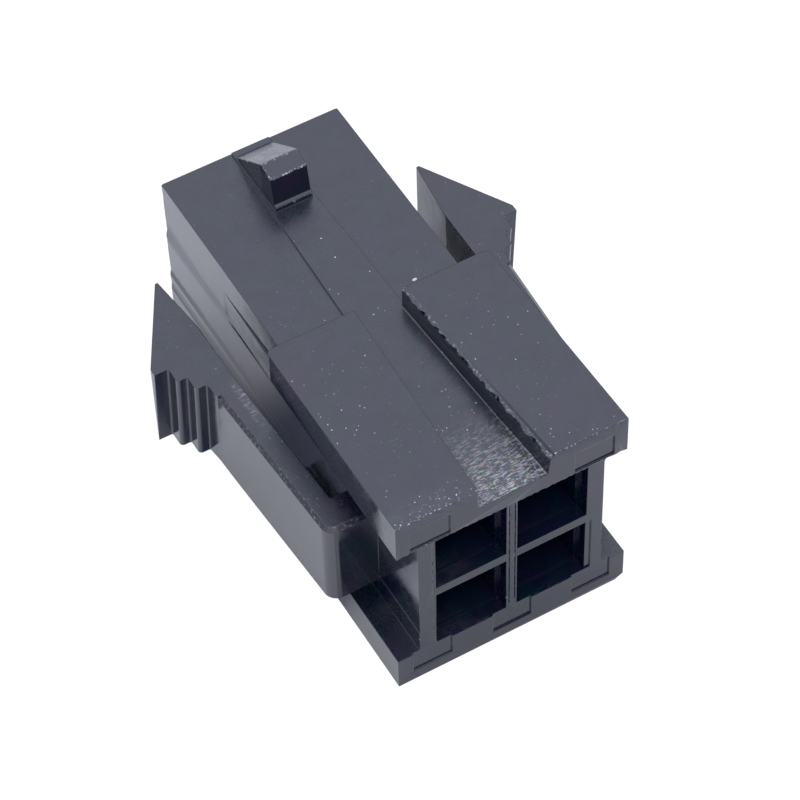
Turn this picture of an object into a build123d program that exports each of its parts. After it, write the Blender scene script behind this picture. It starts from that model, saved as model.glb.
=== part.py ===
from build123d import *
import os

# Panel mount housing of a wire-to-wire power connector: two rows of two circuits,
# moulded in one piece with its latch ramp and its two snap ears. Millimetres.
# The sections below measure Y from the wire end (y = 0) to the mating end. The
# finished solid is moved along Y so that the origin is under the middle of its
# bounding box. X runs across the ears and Z up from the underside.

# Circuits
pitch = 3.00
cavity = 2.60
side_wall = 0.62
floor_thickness = 1.45
roof_thickness = 0.70

# Body and mating socket
overall_length = 17.22
socket_depth = 7.60
socket_side_wall = 0.47
socket_roof = 0.40
socket_lead_in = 0.18
key_bevel = 0.70
end_round = 0.05
end_corner_round = 0.18

# Bands moulded along the body sides: each leans inwards, then steps back out
band_bottoms = (5.11, 3.06, 2.38)
band_ledge = 0.20
band_lean = 0.04
band_step = 0.07

# Rib that rises from the upper band and thickens towards the stop plate
rib_height = 6.17
rib_start_y = 13.00
rib_rise = 0.10

# Wire cavities
mouth_depth = 0.60
mouth_step = 0.12
wire_cavity_depth = 8.40
terminal_hole = 1.70

# Marks of the mould inserts on the wire end
relief_depth = 0.06
relief_side_inner = 2.27
relief_side_outer = 3.73
relief_centre = 0.72
relief_low = 0.50
relief_high = 8.10
relief_lip = 0.08
wall_mark_width = 0.20
wall_mark_depth = 0.11

# Witness step low on the sides of the wire block
witness_height = 2.40
witness_step = 0.03

# Stop plates, whose front faces meet the panel
stop_length = 8.43
top_plate_overhang_rear = 0.80
top_plate_overhang_front = 0.72
top_plate_fall = 0.25
top_plate_corner = 0.22
bottom_plate_overhang = 0.87
bottom_plate_bevel = (0.30, 0.16)
underside_fillet = 0.20

# Channel between the two top plates
channel_depth = 0.87
channel_half_rear = 1.28
channel_half_front = 0.89
channel_fillet = 0.08

# Latch ramp near the mating end
latch_width = 1.38
latch_setback = 0.30
latch_ramp_length = 1.92
latch_crest_length = 0.65
latch_height = 1.55
latch_back_drop = 0.18
latch_undercut = 0.18
latch_lip = 0.30
latch_lip_height = 0.32
latch_lip_bevel = 0.10

# Low strip along the body top, from the channel under the latch to the mating end
strip_height = 0.08
strip_half_rear = 0.98
strip_half_front = 0.72

# Snap ears
ear_bottom = 2.20
ear_height = 3.75
ear_root_y = 2.68
ear_root_length = 1.19
ear_root_draw_in = 0.08
ear_root_round = 0.45
ear_rim_bevel = 0.14
arm_inner_root = 4.43
arm_inner_tip = 4.71
arm_thickness = 0.85
arm_bend_y = 12.10
barb_tip_x = 5.00
barb_tip_y = 14.62
barb_tip_flat = 0.10
barb_edge_round = 0.06
barb_shoulder_x = 6.92
barb_shoulder_y = 11.45
tooth_treads = (6.41, 6.03, 5.63)
tooth_risers = (11.17, 10.55, 9.95)
tooth_run_out = 9.33
tooth_valley_round = 0.07
tooth_lean = 0.25
tooth_ridge_round = 0.14

# How near an edge or corner has to be to the place where it is looked for
place_tolerance = 0.01

# Derived sizes
body_half = pitch / 2 + cavity / 2 + side_wall
cavity_floor = floor_thickness
cavity_roof = floor_thickness + pitch + cavity
body_top = cavity_roof + socket_roof
body_bottom = cavity_floor - socket_roof
strip_top = body_top + strip_height
channel_floor = cavity_roof + roof_thickness
top_plate_rear = channel_floor + channel_depth
top_plate_front = top_plate_rear - top_plate_fall
latch_toe_y = overall_length - latch_setback
latch_crest_y = latch_toe_y - latch_ramp_length
latch_back_y = latch_crest_y - latch_crest_length
ear_top = ear_bottom + ear_height
cavity_places = [
    (x, z)
    for x in (-pitch / 2, pitch / 2)
    for z in (cavity_floor + cavity / 2, cavity_floor + cavity / 2 + pitch)
]


def plan_prism(points, low, high):
    """A prism from an outline in X and Y, standing between two heights."""
    return Pos(0, 0, low) * extrude(make_face(Polyline(*points, close=True)), high - low)


def end_prism(points, start, stop):
    """A prism from an outline in X and Z, running along Y."""
    face = Plane.XZ * make_face(Polyline(*points, close=True))
    return Pos(0, start, 0) * extrude(face, start - stop)


def profile_prism(points, half_width):
    """A prism from an outline in Y and Z, reaching equally far to both sides."""
    face = Plane.YZ * make_face(Polyline(*points, close=True))
    return extrude(face, half_width, both=True)


def block(low, high):
    """A plain block between two opposite corners."""
    size = [b - a for a, b in zip(low, high)]
    centre = [(a + b) / 2 for a, b in zip(low, high)]
    return Pos(*centre) * Box(*size)


def mirrored(outline):
    """An outline in X and Z down the right side, closed by its mirror image."""
    return outline + [(-x, z) for x, z in reversed(outline)]


def body():
    """The long body, from the ear roots to the mating end, with its stepped sides."""
    edge = body_half - band_step / 2
    outline = [(edge, body_top)]
    for bottom in band_bottoms:
        outline.append((edge - band_lean, bottom))
        edge += band_step - band_lean
        outline.append((edge, bottom - band_ledge))
    outline.append((edge - band_lean, body_bottom))
    solid = end_prism(mirrored(outline), ear_root_y, overall_length)
    widest = max(x for x, z in outline)
    envelope = block((-widest, 0, body_bottom), (widest, overall_length, body_top))
    corners = envelope.edges().filter_by(Axis.Z).group_by(Axis.Y)[-1]
    envelope = fillet(corners, end_corner_round)
    envelope = fillet(envelope.faces().sort_by(Axis.Y)[-1].edges(), end_round)
    return solid & envelope


def side_rib(side):
    """The thin rib on one side: it rises in a wedge and runs on to the ear root."""
    lean_share = (body_top - rib_height) / (body_top - band_bottoms[0])
    flush = body_half - band_step / 2 - band_lean * lean_share
    inside = flush - side_wall / 2
    points = [
        (side * inside, ear_root_y),
        (side * (flush + rib_rise), ear_root_y),
        (side * (flush + rib_rise), stop_length),
        (side * flush, rib_start_y),
        (side * inside, rib_start_y),
    ]
    return plan_prism(points, band_bottoms[0] - band_ledge / 2, rib_height)


def wire_block():
    """The plain block around the wire cavities, from the wire end into the ear roots."""
    low = (-body_half, 0, floor_thickness / 2)
    high = (body_half, ear_root_y + ear_root_length / 2, cavity_roof + roof_thickness / 2)
    foot_low = (-body_half - witness_step, 0, floor_thickness / 2)
    foot_high = (body_half + witness_step, ear_root_y, witness_height)
    return block(low, high) + block(foot_low, foot_high)


def bottom_plate():
    """The flat stop plate that the part stands on."""
    half = body_half + bottom_plate_overhang
    plate = block((-half, 0, 0), (half, stop_length, floor_thickness))
    low_right = plate.edges().filter_by(Axis.Y).group_by(Axis.Z)[0].sort_by(Axis.X)[-1]
    across, up = bottom_plate_bevel
    return chamfer(low_right, across, up, reference=plate.faces().sort_by(Axis.Z)[0])


def roof():
    """The two top stop plates and the channel that runs between them."""
    rear = body_half + top_plate_overhang_rear
    front = body_half + top_plate_overhang_front
    plan = [(-rear, 0), (rear, 0), (front, stop_length), (-front, stop_length)]
    slab = plan_prism(plan, cavity_roof, top_plate_rear)
    above = [(0, top_plate_rear), (stop_length, top_plate_rear), (stop_length, top_plate_front)]
    slab -= profile_prism(above, rear)
    upright = slab.edges().filter_by(Axis.Z).group_by(Axis.Y)[-1]
    slab = fillet(upright, top_plate_corner)
    return slab - channel()


def channel():
    """The wedge-shaped channel: its floor and its sides both close in to the front."""
    def section(y, half, floor):
        height = top_plate_rear + channel_depth - floor
        return Plane.XZ.offset(-y) * Pos(0, floor + height / 2) * Rectangle(2 * half, height)

    rear = section(0, channel_half_rear, channel_floor)
    front = section(stop_length, channel_half_front, strip_top)
    cutter = loft([rear, front])
    floor_edges = cutter.edges().group_by(Axis.Z)[0:2]
    runs = [e for group in floor_edges for e in group if e.length > stop_length / 2]
    return fillet(runs, channel_fillet)


def latch():
    """The ramp that a mating latch rides over, with its overhanging back."""
    top = body_top + latch_height
    points = [
        (latch_toe_y, body_top - socket_roof / 2),
        (latch_toe_y, strip_top),
        (latch_crest_y, top),
        (latch_back_y, top - latch_back_drop),
        (latch_back_y - latch_undercut, body_top + latch_lip_height),
        (latch_back_y - latch_lip, body_top + latch_lip_height - latch_lip_bevel),
        (latch_back_y - latch_lip, body_top - socket_roof / 2),
    ]
    return profile_prism(points, latch_width / 2)


def top_strip():
    """The low strip that runs on from the channel, under the latch, to the mating end."""
    start = stop_length - top_plate_corner
    stop = overall_length - end_round
    outline = [
        (-strip_half_rear, start),
        (strip_half_rear, start),
        (strip_half_front, stop),
        (-strip_half_front, stop),
    ]
    return plan_prism(outline, body_top - socket_roof / 2, strip_top)


def is_at(point, places):
    """Whether a point stands at one of the given points of the plan."""
    return any(abs(point.X - x) + abs(point.Y - y) < place_tolerance for x, y in places)


def upright_edges(solid, places):
    """The upright edges of a solid that stand over the given points of its plan."""
    found = []
    for edge in solid.edges().filter_by(Axis.Z):
        if is_at(edge.center(), places):
            found.append(edge)
    return found


def arm():
    """The root and the spring arm of the right ear, with its bevelled outer rim."""
    root_inside = body_half - side_wall / 2
    root_front = ear_root_y + ear_root_length
    root_corner = (arm_inner_root + arm_thickness - ear_root_draw_in, ear_root_y)
    outline = [
        (root_inside, ear_root_y),
        root_corner,
        (arm_inner_tip + arm_thickness, tooth_run_out),
        (arm_inner_tip, tooth_run_out),
        (arm_inner_root, root_front),
        (root_inside, root_front),
    ]
    solid = plan_prism(outline, ear_bottom, ear_top)
    solid = fillet(upright_edges(solid, [root_corner]), ear_root_round)
    rim = solid.edges().group_by(Axis.Z)[-1].filter_by(lambda e: e.length > ear_height)
    return chamfer(rim.sort_by(Axis.X)[-1], ear_rim_bevel)


def stair_cutter():
    """What is cleared behind the barb to leave its stair, leaning forward downwards."""
    valleys = list(zip(tooth_treads, tooth_risers))
    ridges = list(zip(tooth_treads[:-1], tooth_risers[1:]))
    stair = [valleys[0]]
    for ridge, valley in zip(ridges, valleys[1:]):
        stair += [ridge, valley]
    outside = barb_shoulder_x + tooth_lean
    arm_outer = arm_inner_tip + arm_thickness
    outline = [
        (outside, tooth_risers[0]),
        *stair,
        (arm_outer, tooth_run_out),
        (arm_outer, tooth_run_out - 2 * tooth_lean),
        (outside, tooth_run_out - 2 * tooth_lean),
    ]
    face = Pos(0, 0, ear_top) * make_face(Polyline(*outline, close=True))
    for places, radius in ((ridges, tooth_ridge_round), (valleys, tooth_valley_round)):
        face = fillet([v for v in face.vertices() if is_at(v, places)], radius)
    downwards = Vector(0, tooth_lean, -ear_height)
    return extrude(face, amount=downwards.length, dir=downwards.normalized())


def barb():
    """The barb at the tip of the right ear, with its stair of rounded teeth behind."""
    shoulder = (barb_shoulder_x, barb_shoulder_y)
    outline = [
        (arm_inner_tip, tooth_run_out),
        (arm_inner_tip, arm_bend_y),
        (barb_tip_x, barb_tip_y),
        (barb_tip_x + barb_tip_flat, barb_tip_y),
        shoulder,
        (barb_shoulder_x, tooth_run_out),
    ]
    solid = plan_prism(outline, ear_bottom, ear_top)
    solid = fillet(upright_edges(solid, [shoulder]), barb_edge_round)
    return solid - stair_cutter()


def wire_cavities():
    """The four square wire cavities, with a wider mouth and a hole for each terminal."""
    bore = cavity - 2 * mouth_step
    cutters = []
    for x, z in cavity_places:
        for size, depth in (
            (cavity, mouth_depth),
            (bore, wire_cavity_depth),
            (terminal_hole, overall_length),
        ):
            low = (x - size / 2, 0, z - size / 2)
            high = (x + size / 2, depth, z + size / 2)
            cutters.append(block(low, high))
    return cutters


def mating_socket():
    """The socket at the mating end, with two bevelled lower corners as its key."""
    half = body_half - band_step / 2 - socket_side_wall
    low = body_bottom + socket_roof
    high = body_top - socket_roof
    outline = [(half, high), (half, low + key_bevel), (half - key_bevel, low)]
    return end_prism(mirrored(outline), overall_length - socket_depth, overall_length)


def insert_marks():
    """Shallow steps on the wire end: the walls and the plates behind them sit back."""
    marks = []
    for side in (-1, 1):
        inner, outer = sorted((side * relief_side_inner, side * relief_side_outer))
        marks.append(block((inner, 0, relief_low), (outer, relief_depth, cavity_roof)))
        marks.append(block((inner, 0, cavity_roof + relief_lip), (outer, relief_depth, relief_high)))
    marks.append(block((-relief_centre, 0, relief_low), (relief_centre, relief_depth, cavity_roof)))
    middle = cavity_floor + (cavity + pitch) / 2
    half = (pitch - cavity) / 2
    marks.append(block((-body_half, 0, middle - half), (body_half, relief_depth, middle + half)))
    wall_inner = (pitch + cavity) / 2
    wall_high = (wall_inner + wall_mark_width, wall_mark_depth, cavity_floor + cavity)
    marks.append(block((wall_inner, 0, cavity_floor), wall_high))
    return marks


def wire_end():
    """The block and both sets of stop plates, with a fillet under the top plates."""
    solid = wire_block() + roof()
    corners = []
    for edge in solid.edges().filter_by(Axis.Y):
        middle = edge.center()
        off_corner = abs(middle.Z - cavity_roof) + abs(abs(middle.X) - body_half)
        if off_corner < place_tolerance:
            corners.append(edge)
    return fillet(corners, underside_fillet) + bottom_plate()


def housing():
    """The whole moulding, built from its sub-parts and then hollowed."""
    solid = wire_end() + body() + top_strip() + latch()
    right_ear = arm() + barb()
    solid += right_ear
    solid += mirror(right_ear, about=Plane.YZ)
    for side in (-1, 1):
        solid += side_rib(side)
    for cutter in wire_cavities() + insert_marks():
        solid -= cutter
    solid -= mating_socket()
    mouth = solid.faces().sort_by(Axis.Y)[-1].inner_wires()[0]
    solid = chamfer(mouth.edges(), socket_lead_in)
    return Pos(0, -overall_length / 2, 0) * solid


os.makedirs("parts", exist_ok=True)
connector_housing = housing()
export_step(connector_housing, "parts/connector_housing.step")
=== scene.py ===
import math
from collections import namedtuple

import bmesh
import bpy
from mathutils import Matrix, Vector, noise


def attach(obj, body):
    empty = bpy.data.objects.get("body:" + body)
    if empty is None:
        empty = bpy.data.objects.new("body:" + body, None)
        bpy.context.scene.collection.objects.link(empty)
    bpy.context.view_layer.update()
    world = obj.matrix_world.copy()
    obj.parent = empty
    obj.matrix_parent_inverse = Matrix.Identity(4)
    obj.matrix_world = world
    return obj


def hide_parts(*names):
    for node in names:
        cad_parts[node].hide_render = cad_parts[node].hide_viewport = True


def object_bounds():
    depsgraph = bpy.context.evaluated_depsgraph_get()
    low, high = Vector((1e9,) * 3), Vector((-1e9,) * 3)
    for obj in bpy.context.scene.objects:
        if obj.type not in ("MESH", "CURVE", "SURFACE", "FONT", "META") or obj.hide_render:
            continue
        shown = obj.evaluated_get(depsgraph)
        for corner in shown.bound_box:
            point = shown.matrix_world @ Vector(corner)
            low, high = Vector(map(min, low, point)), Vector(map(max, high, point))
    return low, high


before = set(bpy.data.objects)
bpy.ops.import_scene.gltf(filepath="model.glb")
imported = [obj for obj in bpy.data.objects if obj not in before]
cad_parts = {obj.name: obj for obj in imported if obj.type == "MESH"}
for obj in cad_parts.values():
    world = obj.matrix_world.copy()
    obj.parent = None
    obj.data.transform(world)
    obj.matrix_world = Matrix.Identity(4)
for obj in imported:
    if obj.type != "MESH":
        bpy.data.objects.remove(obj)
cad_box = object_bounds()

MM = 0.001
HOUSING = "connector_housing"

# The camera of the photograph: places in mm, roll in degrees
CAMERA_PLACE = (-33.48, -62.96, 94.15)
CAMERA_TARGET = (0.18, -1.115, 4.0)
CAMERA_ROLL = -1.944
CAMERA_NEAREST = 1.0 * MM
LENS = 155.3
SENSOR = 36.0

# Sky, by height from the horizon up
SKY_COLOURS = (
    (0.0, (0.2, 0.2, 0.22, 1)),
    (0.5, (0.95, 0.96, 1.0, 1)),
    (0.75, (1.2, 1.25, 1.45, 1)),
)

# Soft lamp high behind the camera, in mm and watts
KEY_LAMP_PLACE = (-14, -45, 76)
KEY_LAMP_SIZE = 22
KEY_LAMP_POWER = 0.016

# White floor, and the share of it in which the camera sees a shadow
FLOOR_SIZE = 0.6
FLOOR_GLOW = 0.96
FLOOR_SHADOW_SHARE = 0.1
FLOOR_COLOUR = (0.9, 0.9, 0.9, 1)

# Deep painted shade on the floor under the ears, which the camera doesn't see: its colour, and in
# mm half its width, its span in Y and the softness of each
SHADE_COLOUR = (0.3, 0.32, 0.42, 1)
SHADE_REACH = 5.9
SHADE_SPAN = (-4.5, 4.0)
SHADE_SOFT = (0.4, 1.5)

# Nylon: its mottle from purplish to greenish black, and its gloss on three kinds of face; the
# weaker gloss on rear faces, the ears' gaps and the cavities is painted shade
NYLON_COLOURS = (
    (0.35, (0.007, 0.004, 0.021, 1)),
    (0.5, (0.002, 0.005, 0.017, 1)),
    (0.65, (0.001, 0.008, 0.018, 1)),
)
NYLONS = (("black_nylon", 1.8), ("black_nylon_shaded_end", 1.58), ("black_nylon_shaded_inside", 1.35))
ON_BODY, SHADED_AT_REAR_AND_GAP, SHADED_IN_CAVITY = range(3)
DUST_COLOUR = (0.55, 0.56, 0.6, 1)
WEAR_COLOUR = (0.34, 0.35, 0.39, 1)

# Noise: humps to a mm and detail, and how much finer it runs in X, Y and Z
MOTTLE = (1.1, 4.0)
GRAIN = (14.0, 3.0)
CLOUD = (1.7, 3.0)
CLUMPS = (0.45, 3.0)
HAZE = (3.0, 5.0)
SCUFF = (9.0, 2.0)
SCRATCHES = (10.0, 3.0)
RAMP_STREAKS = (1.6, 4.0, (6.0, 1.0, 1.0))
HATCHING = (1.9, 3.0, (2.6, 11.0, 1.0))
CROSSING = (1.9, 3.0, (11.0, 3.0, 1.0))
# The tint is the colour noise of a painted iridescent glint on rubbed places
GLINT_TINT = (1.3, 1.0, (3.0, 7.0, 1.0))

# Faces that look up, by the Z of their normal, and the height in mm above which dust lies
UP_RANGE = (0.3, 0.9)
DUSTY_HEIGHT = (5.6, 5.8)

# How much dust lies where: from and to in mm or in noise, and the density at each
DUST_TO_REAR = (4.0, -8.6, 0.1, 0.3)
DUST_AT_REAR = (-7.7, -8.6, 0.0, 0.6)
DUST_ACROSS = (1.5, -1.5, 0.3, 1.0)
DUST_CLUMPING = (0.4, 0.62, 0.45, 1.4)
FINE_DUST_TO_REAR = (-7.7, -8.4)
FINE_DUST_ACROSS = (0.5, -3.5, 0.05, 0.8)

# Dots of dust: cells to a mm, and the smallest and the largest dot as a share of a cell
COARSE_DOTS = (3.2, 0.03, 0.1)
MEDIUM_DOTS = (7.3, 0.04, 0.18)
FINE_DOTS = (12.0, 0.1, 0.3)
MEDIUM_DENSITY = 1.6
FINE_STRENGTH = 1.8
WEAKEST_DOT = 0.08
DOT_CONTRAST = 2.5

# Haze of dust at the wire end, on the left, and low down only inside the wire block
HAZE_STRENGTH = 0.03
HAZE_TO_REAR = (-7.2, -8.5)
HAZE_ACROSS = (-0.5, -2.5)
HAZE_LOW_ACROSS = (-3.1, -2.9)
HAZE_CLUMPING = (0.35, 0.7, 0.3, 1.0)

# Pale scuff on the body's top: its place and half its size in mm
SCUFF_PLACE = (1.81, 0.61, 7.45)
SCUFF_SIZE = (0.09, 0.05, 0.05)
SCUFF_BORDER = (1.1, 0.9)

# Rubbed places in mm: low, high and softness in X, Y and Z; the channel floor and the left arm's
# top also carry a painted glint
RAMP_RUB = 0.2
RAMP_AREA = ((-0.68, 0.68, 0.05), (6.42, 8.25, 0.04))
RAMP_FOOT = (7.6, 7.7)
RAMP_STREAKING = (0.3, 0.7, 0.7, 1.2)
CHANNEL_AREA = ((-1.2, 1.25, 0.05), (-9.5, -5.1, 0.8), (7.7, 8.2, 0.05))
ARM_AREA = ((-5.0, -4.72, 0.06), (-1.0, 0.9, 0.4), (5.9, 6.0, 0.02))
ARM_RUB = 0.5
HATCH_CONTRAST = (0.47, 0.68, 0.05, 0.8)
CROSS_CONTRAST = (0.54, 0.72, 0.0, 0.6)
SCRATCH_CONTRAST = (0.54, 0.66)
RUB_GREYNESS = 0.35

# Roughness of the surface, and its relief
GRAIN_ROUGHNESS = (0.3, 0.7, 0.13, 0.25)
CLOUD_ROUGHNESS = (0.3, 0.7, 0.09, 0.17)
DIRT_ROUGHNESS = 0.4
GRAIN_RELIEF = 0.35
RUB_RELIEF = 0.7
RELIEF_STRENGTH = 0.25
RELIEF_DEPTH = 0.02 * MM
SOFTNESS_SAMPLES = 8

# Angles and tolerances of the mesh
FLAT_ANGLE = math.radians(1.0)
SHARP_ANGLE = math.radians(25.0)
SAME_PLACE = 0.001 * MM
NEAR = 0.004 * MM
CUT_NEAR = NEAR / 10
SMALLEST_EDGE = 0.0015 * MM

# Rounding of the free outer edges, the softer look of edges, and the even look of large faces
EDGE_ROUND = 0.05 * MM
ROUND_SEGMENTS = 2
ROUND_SHAPE = 0.5
SHORTEST_ROUNDED = 2.5 * EDGE_ROUND
EDGE_SOFTNESS = 0.04 * MM
LARGE_FACE_WEIGHT = 100

# Where parts of the moulding lie: half widths in X, and heights in Z
CAVITY_REACH = 2.85 * MM
CAVITY_LOW = 1.4 * MM
CAVITY_HIGH = 7.1 * MM
CHANNEL_REACH = 1.29 * MM
EAR_INSIDE = 3.8 * MM
RIM_LOW = 5.75 * MM
RIM_HIGH = 5.96 * MM
END_DEPTH = 0.3 * MM

# How far a face's normal leans to one side: as a part of 1
HALFWAY = 0.5
MOSTLY = 0.9
ALMOST_UP = 0.95
FLATLY = 0.99

# Wear on rounded edges, on the ears' rims together with a painted highlight, and on the lower side
# of a ragged edge
ROUNDED_WEAR = 0.35
RIM_WEAR_AND_HIGHLIGHT = 0.2
UNDER_EDGE_SHARE = 0.3

# Corners of the moulding in mm: the rear and stop face in Y, and X and Z there
REAR = -8.61
STOP_FACE = -0.18
TOP_AT_REAR = 8.62
TOP_AT_STOP = 8.37
CHANNEL_AT_REAR = 1.28
CHANNEL_AT_STOP = 0.89
PLATE_SIDE = 4.22
ROOF_UNDERSIDE = 7.05
BOTTOM_TOP = 1.45
CAVITY_SIDES = (0.72, 2.27)

# Latch ramp in mm: half its width, and Y and Z of its back, its crest and its foot
LATCH_SIDE = 0.69
LATCH_BACK = (5.74, 8.82)
LATCH_CREST = (6.39, 9.0)
LATCH_FOOT = (8.31, 7.53)

# How an edge is left ragged, in mm: strip, step, and swings on its two faces; and its wear
CHANNEL_RIM = (0.13, 0.05, (0.13, 0.03), 0.4)
PLATE_RIM = (0.05, 0.06, (0.012, 0.02), 1.0)
ROOF_RIM = (0.05, 0.08, (0.0, 0.09), 0.0)
BOTTOM_RIM = (0.1, 0.08, (0.0, 0.09), 0.0)
CREST_RIM = (0.06, 0.05, (0.03, 0.02), 0.7)
BACK_RIM = (0.06, 0.05, (0.05, 0.03), 1.0)
LATCH_TOP_RIM = (0.06, 0.05, (0.04, 0.03), 0.7)
RAMP_RIM = (0.06, 0.07, (0.06, 0.03), 0.5)

# Edges left ragged by wear or by the mould
CHANNEL_CORNER = (CHANNEL_AT_REAR, REAR, TOP_AT_REAR)
RAGGED_EDGES = (
    (CHANNEL_CORNER, (CHANNEL_AT_STOP, STOP_FACE, TOP_AT_STOP), CHANNEL_RIM),
    ((-PLATE_SIDE, REAR, TOP_AT_REAR), (-CHANNEL_AT_REAR, REAR, TOP_AT_REAR), PLATE_RIM),
    (CHANNEL_CORNER, (PLATE_SIDE, REAR, TOP_AT_REAR), PLATE_RIM),
    ((-PLATE_SIDE, REAR, ROOF_UNDERSIDE), (PLATE_SIDE, REAR, ROOF_UNDERSIDE), ROOF_RIM),
    ((CAVITY_SIDES[0], REAR, BOTTOM_TOP), (CAVITY_SIDES[1], REAR, BOTTOM_TOP), BOTTOM_RIM),
    ((-CAVITY_SIDES[1], REAR, BOTTOM_TOP), (-CAVITY_SIDES[0], REAR, BOTTOM_TOP), BOTTOM_RIM),
    ((-LATCH_SIDE, *LATCH_CREST), (LATCH_SIDE, *LATCH_CREST), CREST_RIM),
    ((-LATCH_SIDE, *LATCH_BACK), (LATCH_SIDE, *LATCH_BACK), BACK_RIM),
    ((-LATCH_SIDE, *LATCH_BACK), (-LATCH_SIDE, *LATCH_CREST), LATCH_TOP_RIM),
    ((-LATCH_SIDE, *LATCH_CREST), (-LATCH_SIDE, *LATCH_FOOT), RAMP_RIM),
)
SWAY_SCALE = 0.33 * MM
JITTER_SCALE = 0.11 * MM
JITTER_SHARE = 0.4
DROP_PATTERN = (7, 3, 5)

# The channel's corner on the right is broken off: how far round it, and which way it gives
CHIP_REACH = 0.2 * MM
CHIP = (0.12, 0.0, -0.14)
CHIP_SHAPE = 0.5

# Lines that the mould's inserts left on the walls of the wire end, in mm: X, and span in Z
SCORED_LINES = ((-0.09, 1.6, 6.95), (0.12, 1.6, 6.95), (-2.91, 2.1, 6.9))
SCORE_WIDTH = 0.022 * MM
SCORE_DEPTH = 0.05 * MM
SCORE_UNEVENNESS = (0.6, 0.8)
SCORE_STEP = 0.12 * MM

# A point of the surface in mm, and how much the surface looks up there
Surface = namedtuple("Surface", "place x y z up")


def add_node(tree, kind, **settings):
    """A node with some of its settings made."""
    node = tree.nodes.new("ShaderNode" + kind)
    for key, value in settings.items():
        setattr(node, key, value)
    return node


def feed(tree, socket, value):
    """Sets a socket to a number or links another socket to it."""
    if isinstance(value, bpy.types.NodeSocket):
        tree.links.new(value, socket)
    else:
        socket.default_value = value


def calc(tree, operation, a, b):
    """The result of one sum on two values."""
    node = add_node(tree, "Math", operation=operation)
    feed(tree, node.inputs[0], a)
    feed(tree, node.inputs[1], b)
    return node.outputs[0]


def product(tree, *values):
    """The product of several values."""
    result = values[0]
    for value in values[1:]:
        result = calc(tree, "MULTIPLY", result, value)
    return result


def highest(tree, *values):
    """The highest of several values."""
    result = values[0]
    for value in values[1:]:
        result = calc(tree, "MAXIMUM", result, value)
    return result


def ranged(tree, value, low, high, to_low=0.0, to_high=1.0):
    """A value carried smoothly from one range to another."""
    node = add_node(tree, "MapRange", interpolation_type="SMOOTHSTEP")
    feed(tree, node.inputs["Value"], value)
    node.inputs["From Min"].default_value = low
    node.inputs["From Max"].default_value = high
    node.inputs["To Min"].default_value = to_low
    node.inputs["To Max"].default_value = to_high
    return node.outputs[0]


def window(tree, value, low, high, soft):
    """1 between two limits and 0 outside them, with soft borders."""
    rise = ranged(tree, value, low - soft, low + soft)
    fall = ranged(tree, value, high - soft, high + soft, 1.0, 0.0)
    return product(tree, rise, fall)


def area(tree, values, limits):
    """1 where each value is between its limits, with soft borders."""
    return product(tree, *[window(tree, value, *limit) for value, limit in zip(values, limits)])


def scaled(tree, place, scale):
    """A place with each of its parts multiplied."""
    node = add_node(tree, "VectorMath", operation="MULTIPLY")
    feed(tree, node.inputs[0], place)
    node.inputs[1].default_value = scale
    return node.outputs[0]


def in_mm(tree, place):
    """A place with its parts in mm."""
    return scaled(tree, place, (1 / MM, 1 / MM, 1 / MM))


def split_place(tree, place):
    """The three parts of a place."""
    node = add_node(tree, "SeparateXYZ")
    feed(tree, node.inputs[0], place)
    return node.outputs[0], node.outputs[1], node.outputs[2]


def noise_at(tree, place, humps, detail, stretch=None):
    """Soft noise: its strength, and its colour."""
    node = add_node(tree, "TexNoise")
    feed(tree, node.inputs["Vector"], scaled(tree, place, stretch) if stretch else place)
    node.inputs["Scale"].default_value = humps
    node.inputs["Detail"].default_value = detail
    return node.outputs[0], node.outputs[1]


def strength_at(tree, place, pattern):
    """The strength of one of the named noises."""
    return noise_at(tree, place, *pattern)[0]


def mixed(tree, share, a, b):
    """A colour between two others."""
    node = add_node(tree, "Mix", data_type="RGBA")
    feed(tree, node.inputs[0], share)
    feed(tree, node.inputs[6], a)
    feed(tree, node.inputs[7], b)
    return node.outputs[2]


def shaded_through(tree, value, stops):
    """A colour that runs through three stops."""
    ramp = add_node(tree, "ValToRGB")
    feed(tree, ramp.inputs[0], value)
    ramp.color_ramp.elements.new(0.5)
    for element, (spot, colour) in zip(ramp.color_ramp.elements, stops):
        element.position = spot
        element.color = colour
    return ramp.outputs[0]


def seen_by_camera(tree):
    """1 where the camera looks straight at a surface."""
    return add_node(tree, "LightPath").outputs["Is Camera Ray"]


def add_camera():
    """The photograph's camera, with its slight roll."""
    data = bpy.data.cameras.new("camera")
    data.lens = LENS
    data.sensor_width = SENSOR
    data.clip_start = CAMERA_NEAREST
    camera = bpy.data.objects.new("camera", data)
    bpy.context.scene.collection.objects.link(camera)
    place = Vector(CAMERA_PLACE) * MM
    forward = Vector(CAMERA_TARGET) * MM - place
    turn = forward.to_track_quat("-Z", "Y").to_matrix().to_4x4()
    roll = Matrix.Rotation(math.radians(CAMERA_ROLL), 4, "Z")
    camera.matrix_world = Matrix.Translation(place) @ turn @ roll
    bpy.context.scene.camera = camera


def floor_colour_with_painted_shade(tree):
    """The floor's colour, with a painted shade under the ears that the camera doesn't see."""
    place = add_node(tree, "NewGeometry").outputs["Position"]
    x, y, _ = split_place(tree, in_mm(tree, place))
    shade = product(
        tree,
        calc(tree, "SUBTRACT", 1.0, seen_by_camera(tree)),
        window(tree, x, -SHADE_REACH, SHADE_REACH, SHADE_SOFT[0]),
        window(tree, y, *SHADE_SPAN, SHADE_SOFT[1]),
    )
    return mixed(tree, shade, FLOOR_COLOUR, SHADE_COLOUR)


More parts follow.
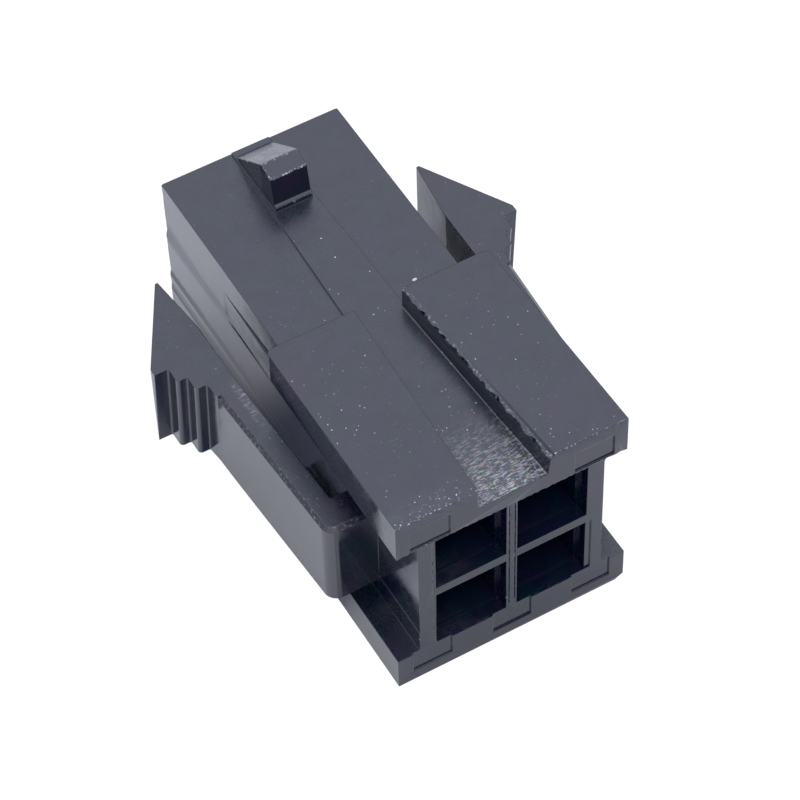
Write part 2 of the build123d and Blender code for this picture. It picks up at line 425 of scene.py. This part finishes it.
def floor_material():
    """White: it glows to the camera, with a faint shadow, and is matte to everything else."""
    material = bpy.data.materials.new("white_floor")
    material.use_nodes = True
    tree = material.node_tree
    tree.nodes.clear()
    glow = add_node(tree, "Emission")
    glow.inputs["Strength"].default_value = FLOOR_GLOW / (1 - FLOOR_SHADOW_SHARE)
    matte = add_node(tree, "BsdfDiffuse")
    # The matte floor carries the painted shade under the ears
    feed(tree, matte.inputs["Color"], floor_colour_with_painted_shade(tree))
    matte_share = add_node(tree, "MapRange")
    feed(tree, matte_share.inputs["Value"], seen_by_camera(tree))
    matte_share.inputs["To Min"].default_value = 1.0
    matte_share.inputs["To Max"].default_value = FLOOR_SHADOW_SHARE
    mix = add_node(tree, "MixShader")
    feed(tree, mix.inputs["Fac"], matte_share.outputs[0])
    feed(tree, mix.inputs[1], glow.outputs[0])
    feed(tree, mix.inputs[2], matte.outputs[0])
    out = add_node(tree, "OutputMaterial")
    feed(tree, out.inputs["Surface"], mix.outputs[0])
    return material


def add_stage():
    """The white floor."""
    bpy.ops.mesh.primitive_plane_add(size=FLOOR_SIZE)
    floor = bpy.context.object
    floor.name = "floor"
    floor.data.materials.append(floor_material())


def add_lamp(name, place, size, power):
    """A soft square lamp that points at the foot of the part."""
    data = bpy.data.lights.new(name, "AREA")
    data.size = size * MM
    data.energy = power
    lamp = bpy.data.objects.new(name, data)
    bpy.context.scene.collection.objects.link(lamp)
    lamp.location = Vector(place) * MM
    lamp.rotation_euler = (-lamp.location).to_track_quat("-Z", "Y").to_euler()


def add_light():
    """A sky that is brightest overhead, and a soft lamp high behind the camera."""
    world = bpy.data.worlds.new("sky")
    bpy.context.scene.world = world
    world.use_nodes = True
    tree = world.node_tree
    direction = add_node(tree, "TexCoord").outputs["Generated"]
    height = split_place(tree, direction)[2]
    sky = shaded_through(tree, height, SKY_COLOURS)
    feed(tree, tree.nodes["Background"].inputs["Color"], sky)
    add_lamp("key_lamp", KEY_LAMP_PLACE, KEY_LAMP_SIZE, KEY_LAMP_POWER)


def surface_point(tree):
    """A point of the moulding's surface in mm, and how much it looks up."""
    surface = add_node(tree, "TexCoord").outputs
    place = in_mm(tree, surface["Object"])
    x, y, z = split_place(tree, place)
    up = ranged(tree, split_place(tree, surface["Normal"])[2], *UP_RANGE)
    return Surface(place, x, y, z, up)


def specks(tree, place, cells_to_mm, smallest, largest, density):
    """Scattered dots: one in some of the cells, each with its own size and strength."""
    cells = add_node(tree, "TexVoronoi")
    feed(tree, cells.inputs["Vector"], place)
    cells.inputs["Scale"].default_value = cells_to_mm
    parts = add_node(tree, "SeparateColor")
    feed(tree, parts.inputs[0], cells.outputs["Color"])
    chance, size, strength = parts.outputs[0], parts.outputs[1], parts.outputs[2]
    chosen = calc(tree, "LESS_THAN", chance, density)
    radius = ranged(tree, size, 0.0, 1.0, smallest, largest)
    inside = calc(tree, "LESS_THAN", cells.outputs["Distance"], radius)
    strength = calc(tree, "ADD", calc(tree, "POWER", strength, DOT_CONTRAST), WEAKEST_DOT)
    return product(tree, chosen, inside, strength)


def scuff(tree, place):
    """A small pale patch with an uneven border."""
    off = add_node(tree, "VectorMath", operation="SUBTRACT")
    feed(tree, off.inputs[0], place)
    off.inputs[1].default_value = SCUFF_PLACE
    reach = add_node(tree, "VectorMath", operation="LENGTH")
    feed(tree, reach.inputs[0], scaled(tree, off.outputs[0], [1 / size for size in SCUFF_SIZE]))
    uneven = calc(tree, "SUBTRACT", strength_at(tree, place, SCUFF), 0.5)
    border = calc(tree, "ADD", reach.outputs["Value"], uneven)
    return ranged(tree, border, *SCUFF_BORDER)


def dust_on_tops(tree, at):
    """Dots of dust on the tops, thickest at the wire end and on the left, and the scuff."""
    on_top = product(tree, at.up, ranged(tree, at.z, *DUSTY_HEIGHT))
    at_rear = product(tree, ranged(tree, at.y, *DUST_AT_REAR), ranged(tree, at.x, *DUST_ACROSS))
    to_rear = calc(tree, "ADD", ranged(tree, at.y, *DUST_TO_REAR), at_rear)
    clumps = ranged(tree, strength_at(tree, at.place, CLUMPS), *DUST_CLUMPING)
    density = product(tree, to_rear, clumps, on_top)
    coarse = specks(tree, at.place, *COARSE_DOTS, density)
    medium = specks(tree, at.place, *MEDIUM_DOTS, product(tree, density, MEDIUM_DENSITY))
    fine_density = product(
        tree,
        ranged(tree, at.y, *FINE_DUST_TO_REAR),
        ranged(tree, at.x, *FINE_DUST_ACROSS),
        on_top,
    )
    fine = specks(tree, at.place, *FINE_DOTS, fine_density)
    return highest(tree, coarse, medium, product(tree, fine, FINE_STRENGTH), scuff(tree, at.place))


def haze_at_rear(tree, at):
    """A thin film of dust at the wire end, on the left."""
    height = highest(tree, ranged(tree, at.z, *DUSTY_HEIGHT), ranged(tree, at.x, *HAZE_LOW_ACROSS))
    return product(
        tree,
        ranged(tree, at.y, *HAZE_TO_REAR),
        ranged(tree, strength_at(tree, at.place, HAZE), *HAZE_CLUMPING),
        product(tree, ranged(tree, at.x, *HAZE_ACROSS), height, at.up),
        HAZE_STRENGTH,
    )


def rubbed_ramp(tree, at):
    """Streaks along the latch ramp."""
    return product(
        tree,
        area(tree, (at.x, at.y), RAMP_AREA),
        ranged(tree, at.z, *RAMP_FOOT),
        ranged(tree, strength_at(tree, at.place, RAMP_STREAKS), *RAMP_STREAKING),
        RAMP_RUB,
    )


def worn_edges_and_rim_highlight(tree, at):
    """Specks of wear on the faces along edges, and a painted highlight on the ears' rims."""
    edge = add_node(tree, "Attribute", attribute_name="edge_wear_and_rim_highlight").outputs["Fac"]
    scratchy = ranged(tree, strength_at(tree, at.place, SCRATCHES), *SCRATCH_CONTRAST)
    return product(tree, edge, scratchy)


def rubbed_patches_and_glint(tree, at):
    """Cross-hatched rubbing on the channel floor and on the left arm's top, its bright iridescent
    colour partly a painted glint.
    """
    hatching = ranged(tree, strength_at(tree, at.place, HATCHING), *HATCH_CONTRAST)
    crossing = ranged(tree, strength_at(tree, at.place, CROSSING), *CROSS_CONTRAST)
    spot = (at.x, at.y, at.z)
    on_floor = product(tree, area(tree, spot, CHANNEL_AREA), highest(tree, hatching, crossing))
    on_arm = product(tree, area(tree, spot, ARM_AREA), hatching, ARM_RUB)
    return product(tree, highest(tree, on_floor, on_arm), at.up)


def nylon_colour(tree, at, dust, wear, rubbed):
    """Black with a faint mottle, under haze, wear with a painted highlight on the ears' rims,
    dust, and the painted glint of rubbed places.
    """
    colour = shaded_through(tree, strength_at(tree, at.place, MOTTLE), NYLON_COLOURS)
    colour = mixed(tree, haze_at_rear(tree, at), colour, DUST_COLOUR)
    colour = mixed(tree, rubbed_ramp(tree, at), colour, WEAR_COLOUR)
    colour = mixed(tree, wear, colour, WEAR_COLOUR)
    colour = mixed(tree, dust, colour, DUST_COLOUR)
    # Painted glint: a pale iridescent colour on the rubbed places
    glint = mixed(tree, RUB_GREYNESS, noise_at(tree, at.place, *GLINT_TINT)[1], WEAR_COLOUR)
    return mixed(tree, rubbed, colour, glint)


def nylon_relief(tree, at, grain, rubbed):
    """The surface's normal, with fine relief on the tops and soft edges."""
    soft = add_node(tree, "Bevel", samples=SOFTNESS_SAMPLES)
    radius = add_node(tree, "Attribute", attribute_name="edge_softness").outputs["Fac"]
    feed(tree, soft.inputs["Radius"], radius)
    relief = calc(
        tree, "ADD", product(tree, grain, at.up, GRAIN_RELIEF), product(tree, rubbed, RUB_RELIEF)
    )
    bump = add_node(tree, "Bump")
    feed(tree, bump.inputs["Height"], relief)
    feed(tree, bump.inputs["Normal"], soft.outputs[0])
    bump.inputs["Strength"].default_value = RELIEF_STRENGTH
    bump.inputs["Distance"].default_value = RELIEF_DEPTH
    return bump.outputs[0]


def nylon_material(name, ior):
    """Black moulded nylon with a fine grain, faint mottle, dust, and rubbed places with a painted
    glint.
    """
    material = bpy.data.materials.new(name)
    material.use_nodes = True
    tree = material.node_tree
    shader = tree.nodes["Principled BSDF"]
    at = surface_point(tree)
    dust = dust_on_tops(tree, at)
    wear = worn_edges_and_rim_highlight(tree, at)
    rubbed = rubbed_patches_and_glint(tree, at)
    grain = strength_at(tree, at.place, GRAIN)
    cloud = strength_at(tree, at.place, CLOUD)
    grainy = product(tree, ranged(tree, grain, *GRAIN_ROUGHNESS), at.up)
    rough = calc(tree, "ADD", grainy, ranged(tree, cloud, *CLOUD_ROUGHNESS))
    dirty = product(tree, highest(tree, dust, wear, rubbed), DIRT_ROUGHNESS)
    feed(tree, shader.inputs["Base Color"], nylon_colour(tree, at, dust, wear, rubbed))
    feed(tree, shader.inputs["Roughness"], calc(tree, "ADD", rough, dirty))
    feed(tree, shader.inputs["Normal"], nylon_relief(tree, at, grain, rubbed))
    shader.inputs["IOR"].default_value = ior
    return material


def with_parts(faces):
    """Some faces with their edges and corners, always in the same order."""
    edges = dict.fromkeys(edge for face in faces for edge in face.edges)
    verts = dict.fromkeys(vert for face in faces for vert in face.verts)
    return [*faces, *edges, *verts]


def cut(bm, faces, place, normal):
    """Cuts some faces where a plane crosses them."""
    bmesh.ops.bisect_plane(
        bm,
        geom=with_parts(faces),
        plane_co=place,
        plane_no=normal,
        dist=CUT_NEAR,
    )


def ragged_edge(bm, start, end, rim):
    """Cuts a narrow strip along either side of an edge and leaves the edge uneven."""
    reach, step, swings, worn = rim
    reach, step = reach * MM, step * MM
    first_swing, second_swing = [swing * MM for swing in swings]
    run = (end - start).normalized()
    length = (end - start).length

    def on_edge(vert):
        along = (vert.co - start).dot(run)
        off = (vert.co - start - run * along).length
        return off < NEAR and -NEAR < along < length + NEAR

    def sides():
        pieces = [e for e in bm.edges if on_edge(e.verts[0]) and on_edge(e.verts[1])]
        return list(dict.fromkeys(face for edge in pieces for face in edge.link_faces))

    inwards = []
    for face in sorted(sides(), key=lambda f: -f.normal.z):
        inward = face.normal.cross(run)
        if inward.dot(face.calc_center_median() - start) < 0:
            inward.negate()
        inwards.append(inward)
        cut(bm, [face], start + inward * reach, inward)
    for count in range(1, int(length / step)):
        cut(bm, sides(), start + run * step * count, run)
    wear = bm.faces.layers.float["edge_wear_and_rim_highlight"]
    for face in sides():
        face[wear] = worn if face.normal.z > HALFWAY else worn * UNDER_EDGE_SHARE
    for vert in [v for v in bm.verts if on_edge(v)]:
        along = (vert.co - start).dot(run)
        taper = min(1.0, along / reach, (length - along) / reach)
        if taper <= 0:
            continue
        jitter = noise.noise(vert.co / JITTER_SCALE)
        sway = noise.noise(vert.co / SWAY_SCALE) + JITTER_SHARE * jitter
        drop = abs(noise.noise(vert.co / JITTER_SCALE + Vector(DROP_PATTERN)))
        shift = inwards[0] * sway * first_swing * taper
        vert.co += shift + inwards[1] * drop * second_swing * taper


def chip_corner(bm, corner):
    """Breaks a small piece off a corner."""
    for vert in bm.verts:
        off = (vert.co - corner).length
        if off < CHIP_REACH:
            vert.co += Vector(CHIP) * MM * (1 - off / CHIP_REACH) ** CHIP_SHAPE


def is_of_wire_end(face):
    """Whether a face is part of the flat wire end."""
    is_near = abs(face.calc_center_median().y - cad_box[0][1]) < END_DEPTH
    return face.normal.y < -FLATLY and is_near


def reaches_groove(face, x, low, high):
    """Whether a face lies across the place of a scored line."""
    xs = [vert.co.x for vert in face.verts]
    zs = [vert.co.z for vert in face.verts]
    is_beside = min(xs) < x + SCORE_WIDTH - NEAR and max(xs) > x - SCORE_WIDTH + NEAR
    return is_beside and min(zs) < high - NEAR and max(zs) > low + NEAR


def scored_line(bm, x, low, high):
    """Cuts a narrow upright groove into the wire end."""
    upright = Vector((0, 0, 1))
    across = Vector((1, 0, 0))
    cuts = [(low, upright), (high, upright)]
    cuts += [(x + side * SCORE_WIDTH, across) for side in (-1, 0, 1)]
    steps = range(1, int((high - low) / SCORE_STEP))
    cuts += [(low + SCORE_STEP * count, upright) for count in steps]
    for place, normal in cuts:
        faces = [f for f in bm.faces if is_of_wire_end(f) and reaches_groove(f, x, low, high)]
        cut(bm, faces, normal * place, normal)
    least, swing = SCORE_UNEVENNESS
    for vert in bm.verts:
        in_line = abs(vert.co.x - x) < NEAR and low + NEAR < vert.co.z < high - NEAR
        if in_line and abs(vert.co.y - cad_box[0][1]) < END_DEPTH:
            depth = least + swing * noise.noise(vert.co / JITTER_SCALE)
            vert.co.y += SCORE_DEPTH * max(depth, 0.0)


def is_free_edge(edge):
    """Whether an outer edge ends at plain outer corners, with room to be rounded."""
    if edge.calc_face_angle(0) < SHARP_ANGLE:
        return False
    joined = [other for vert in edge.verts for other in vert.link_edges]
    sharp = [other for other in joined if other.calc_face_angle(0) >= SHARP_ANGLE]
    return all(e.is_convex and e.calc_length() >= SHORTEST_ROUNDED for e in sharp)


def round_free_edges(bm):
    """Rounds the free outer edges, and wears them a little."""
    strips = bmesh.ops.bevel(
        bm,
        geom=[e for e in bm.edges if is_free_edge(e)],
        offset=EDGE_ROUND,
        segments=ROUND_SEGMENTS,
        profile=ROUND_SHAPE,
        affect="EDGES",
        clamp_overlap=False,
    )
    wear = bm.faces.layers.float["edge_wear_and_rim_highlight"]
    for face in strips["faces"]:
        face[wear] = max(face[wear], ROUNDED_WEAR)


def dress_face(face, wear, softness):
    """Gives a face its gloss, weaker as painted shade where it looks to the rear, into an ear's
    gap or lies in a cavity; its soft edges; and, on the ears' rims, wear with a painted highlight.
    """
    middle = face.calc_center_median()
    looks_rear = face.normal.y < -MOSTLY
    at_end = middle.y < cad_box[0][1] + END_DEPTH and looks_rear
    inside = abs(middle.x) < CAVITY_REACH and CAVITY_LOW < middle.z < CAVITY_HIGH
    looks_in = face.normal.x * middle.x < 0 and abs(face.normal.x) > HALFWAY
    in_gap = abs(middle.x) > EAR_INSIDE and looks_in
    face.smooth = True
    # Weaker gloss, as painted shade, for faces that look to the rear or into an ear's gap, and
    # inside the cavities
    face.material_index = SHADED_AT_REAR_AND_GAP if in_gap or looks_rear else ON_BODY
    if inside and not at_end:
        face.material_index = SHADED_IN_CAVITY
    in_channel = abs(middle.x) < CHANNEL_REACH and middle.y < 0 and face[wear] == 0
    is_hollow = (inside or in_channel) and not at_end
    face[softness] = 0.0 if is_hollow else EDGE_SOFTNESS
    # The ears' rims get wear with a painted highlight
    on_rim = RIM_LOW < middle.z < RIM_HIGH and abs(middle.x) > CAVITY_REACH
    if on_rim and HALFWAY < face.normal.z < ALMOST_UP:
        face[wear] = RIM_WEAR_AND_HIGHLIGHT


def make_triangles(bm):
    """Splits the faces into triangles without needles, and marks the sharp edges."""
    bmesh.ops.triangulate(bm, faces=bm.faces, quad_method="BEAUTY", ngon_method="EAR_CLIP")
    bmesh.ops.dissolve_degenerate(bm, dist=SMALLEST_EDGE, edges=bm.edges)
    bmesh.ops.triangulate(bm, faces=bm.faces, quad_method="BEAUTY", ngon_method="EAR_CLIP")
    for edge in bm.edges:
        edge.smooth = edge.calc_face_angle(0) < SHARP_ANGLE


def moulded_mesh():
    """The moulding's faces, joined from the frame's triangles, with worn and rounded edges."""
    bm = bmesh.new()
    bm.from_mesh(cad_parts[HOUSING].data)
    bmesh.ops.remove_doubles(bm, verts=bm.verts, dist=SAME_PLACE)
    bmesh.ops.dissolve_limit(
        bm,
        angle_limit=FLAT_ANGLE,
        verts=bm.verts,
        edges=bm.edges,
        use_dissolve_boundaries=False,
    )
    bm.faces.layers.float.new("edge_wear_and_rim_highlight")
    bm.faces.layers.float.new("edge_softness")
    for start, end, rim in RAGGED_EDGES:
        ragged_edge(bm, Vector(start) * MM, Vector(end) * MM, rim)
    chip_corner(bm, Vector(CHANNEL_CORNER) * MM)
    for x, low, high in SCORED_LINES:
        scored_line(bm, x * MM, low * MM, high * MM)
    round_free_edges(bm)
    wear = bm.faces.layers.float["edge_wear_and_rim_highlight"]
    softness = bm.faces.layers.float["edge_softness"]
    for face in bm.faces:
        dress_face(face, wear, softness)
    make_triangles(bm)
    mesh = bpy.data.meshes.new("housing_moulding")
    bm.to_mesh(mesh)
    bm.free()
    return mesh


def add_moulding():
    """The moulded housing with its edges worn and rounded, in place of the frame's plain one."""
    moulding = bpy.data.objects.new("housing_moulding", moulded_mesh())
    bpy.context.scene.collection.objects.link(moulding)
    for name, ior in NYLONS:
        moulding.data.materials.append(nylon_material(name, ior))
    even = moulding.modifiers.new("even_faces", "WEIGHTED_NORMAL")
    even.weight = LARGE_FACE_WEIGHT
    even.keep_sharp = True
    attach(moulding, "root")
    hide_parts(HOUSING)


add_camera()
add_moulding()
add_stage()
add_light()
bpy.context.scene.view_settings.view_transform = "Standard"
